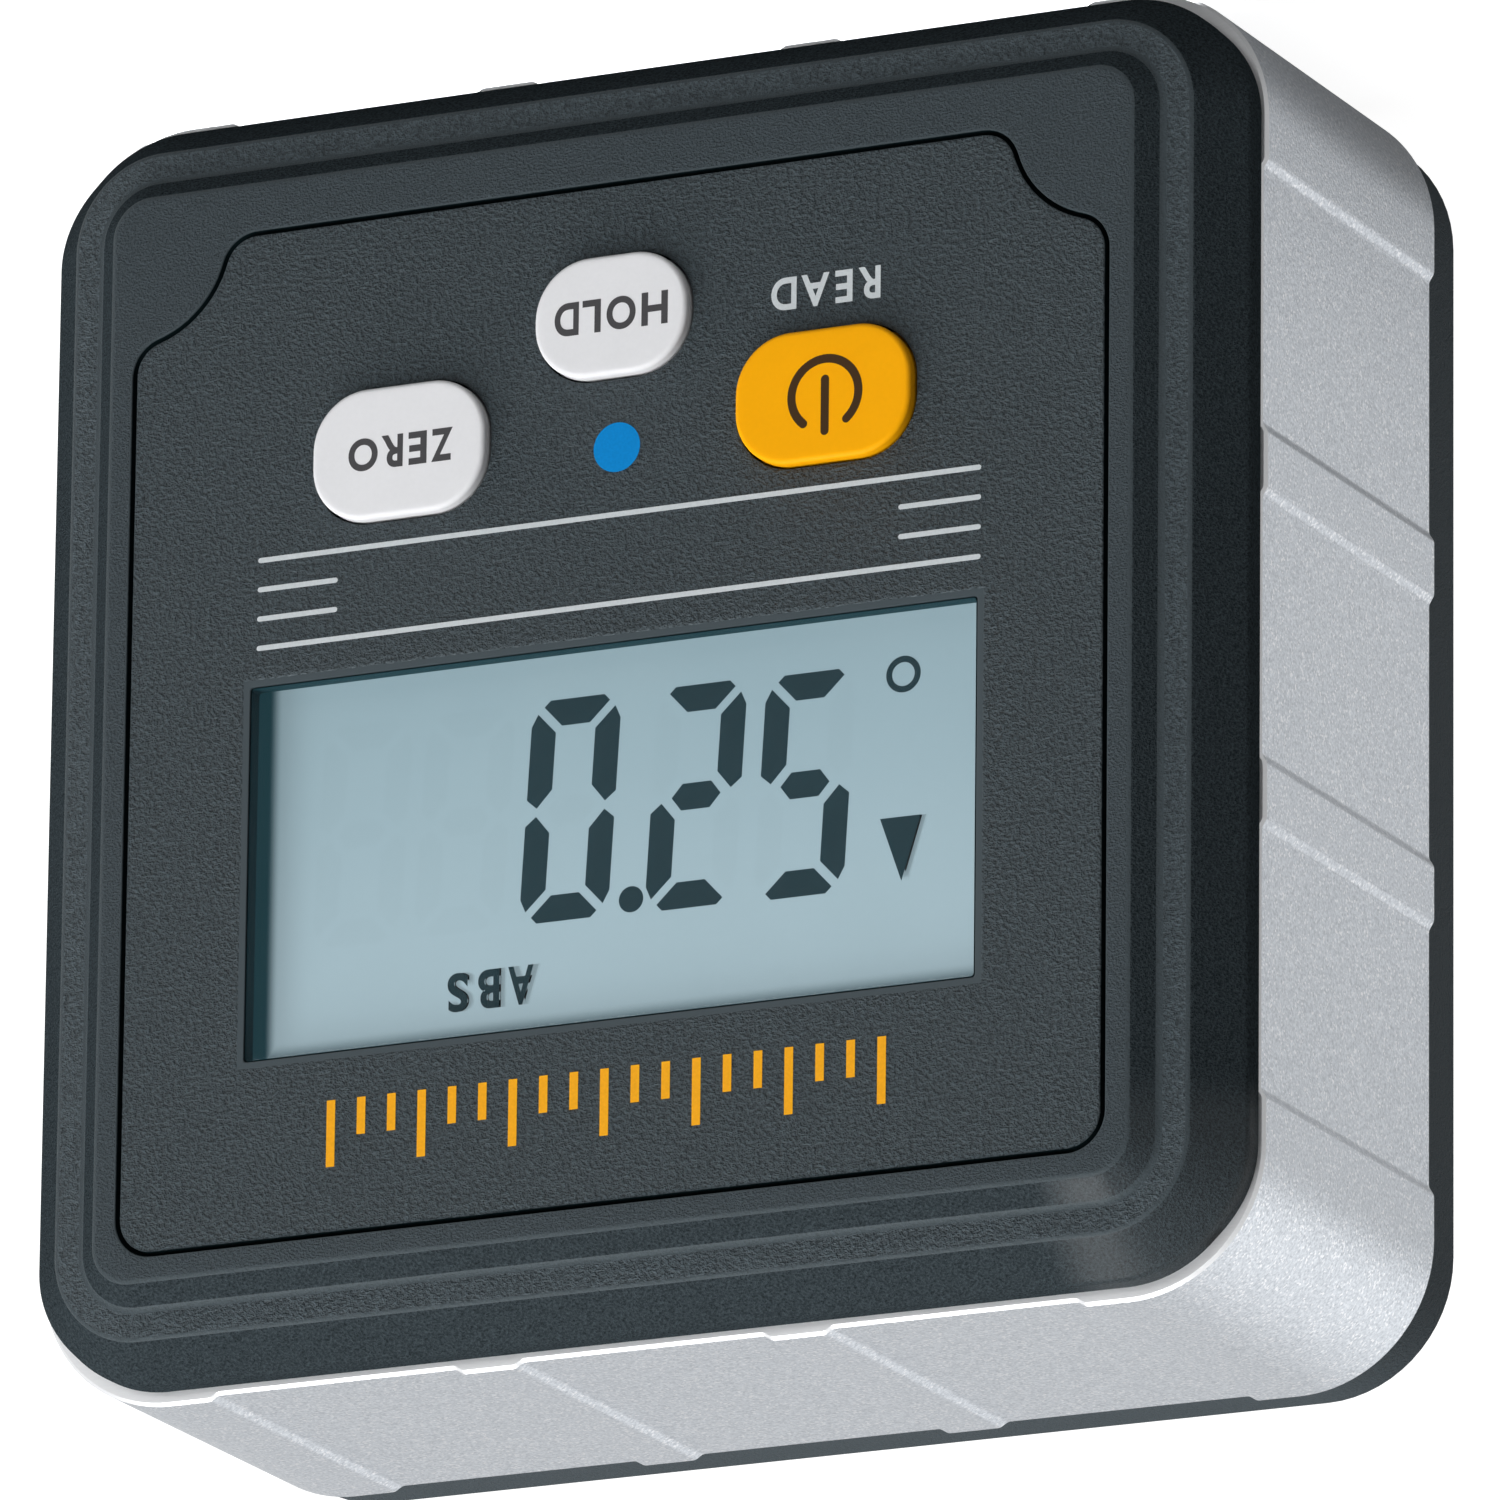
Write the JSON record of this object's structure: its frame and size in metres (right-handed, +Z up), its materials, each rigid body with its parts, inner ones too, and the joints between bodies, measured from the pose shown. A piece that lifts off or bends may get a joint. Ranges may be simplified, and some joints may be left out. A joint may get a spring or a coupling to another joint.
{
  "type": "digital angle gauge",
  "caption": "Square digital angle gauge: ribbed metal frame between two dark covers, stepped face with a display window, press keys, magnetic base and a sliding battery door.",
  "frame": {"origin": "middle of the footprint on the plane of the base, centred in width and in depth", "axes": "+Z up from the magnetic base, -Y out of the face with the display, +X to the right as the print is read"},
  "size_m": [0.06, 0.0274, 0.06],
  "materials": {
    "frame_metal": "bead blasted and clear anodised, machined ends",
    "magnet_plating": "nickel plated",
    "cover_plastic": "fine moulded grain",
    "panel_plastic": "coarse moulded grain",
    "clear_lens": "clear acrylic",
    "foam": "black foam",
    "display_glass": "grey-blue liquid crystal display",
    "black_plastic": "moulded",
    "light_guide": "milky",
    "contact_rubber": "layered elastomer",
    "board_laminate": "green solder mask",
    "chip_resin": "moulded resin",
    "shield_metal": "tinned",
    "chip_ceramic": "fired",
    "plunger_plastic": "moulded",
    "orange_key": "soft satin",
    "white_key": "soft satin",
    "screw_steel": "zinc plated",
    "cell_sleeve": "printed sleeve, left plain",
    "contact_steel": "nickel plated"
  },
  "bodies": {
    "case": {"frame": "frame_metal", "base_magnets": "magnet_plating", "front_cover": "cover_plastic", "face_panel": "panel_plastic", "window_lens": "clear_lens", "display_gasket": "foam", "lcd_glass": "display_glass", "lcd_holder": "black_plastic", "backlight_panel": "light_guide", "zebra_strip": "contact_rubber", "circuit_board": "board_laminate", "controller_chip": "chip_resin", "tilt_sensor": "chip_resin", "radio_module": "shield_metal", "crystal_can": "shield_metal", "chip_parts": "chip_ceramic", "switch_bodies": "black_plastic", "board_screws": "screw_steel", "rear_cover": "cover_plastic", "upper_cell": "cell_sleeve", "lower_cell": "cell_sleeve", "contact_plates": "contact_steel", "contact_springs": "contact_steel", "case_screws": "screw_steel"},
    "power_key": {"power_button": "orange_key", "power_plunger": "plunger_plastic"},
    "hold_key": {"hold_button": "white_key", "hold_plunger": "plunger_plastic"},
    "zero_key": {"zero_button": "white_key", "zero_plunger": "plunger_plastic"},
    "door": {"battery_door": "cover_plastic"}
  },
  "joints": [
    {"name": "power_press", "type": "slide", "parent": "case", "child": "power_key", "axis": [0, 1, 0], "range_m": [0, 0.0003], "stiffness_N_per_m": 2000},
    {"name": "hold_press", "type": "slide", "parent": "case", "child": "hold_key", "axis": [0, 1, 0], "range_m": [0, 0.0003], "stiffness_N_per_m": 2000},
    {"name": "zero_press", "type": "slide", "parent": "case", "child": "zero_key", "axis": [0, 1, 0], "range_m": [0, 0.0003], "stiffness_N_per_m": 2000},
    {"name": "door_slide", "type": "slide", "parent": "case", "child": "door", "axis": [1, 0, 0], "range_m": [0, 0.056]}
  ]
}
